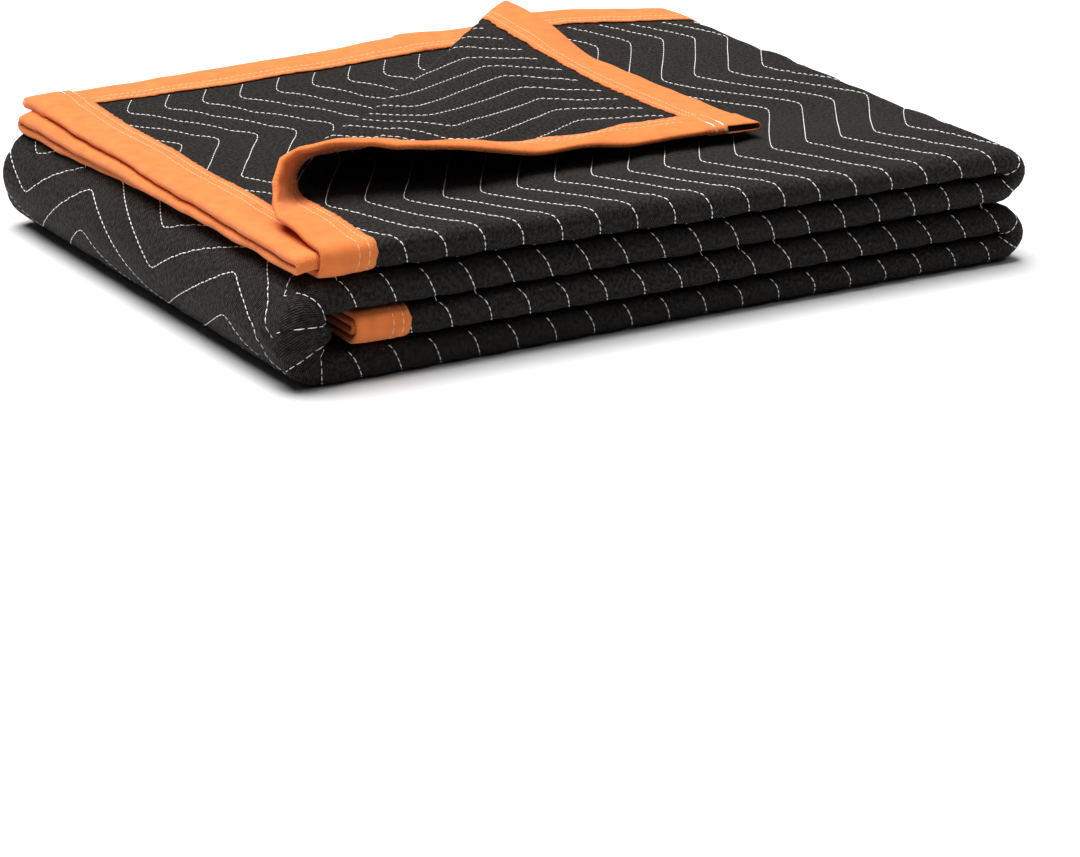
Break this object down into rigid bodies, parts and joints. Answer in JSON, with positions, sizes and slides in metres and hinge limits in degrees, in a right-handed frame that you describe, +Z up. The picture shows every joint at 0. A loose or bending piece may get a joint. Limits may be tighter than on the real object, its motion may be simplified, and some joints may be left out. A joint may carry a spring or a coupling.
{
  "type": "moving pad",
  "caption": "Quilted moving pad folded into a rectangular block, bound along its edges, with one top corner turned back.",
  "frame": {"origin": "middle of the block's bounding box, on the surface that it lies on", "axes": "+X along the folded creases to the right end, +Y from the creased front to the back, +Z up"},
  "size_m": [0.5345, 0.4126, 0.1218],
  "materials": {
    "black_twill": "matte woven twill, quilted",
    "orange_tape": "matte woven tape"
  },
  "bodies": {
    "root": {"quilted_body": "black_twill", "binding": "orange_tape"}
  },
  "joints": []
}
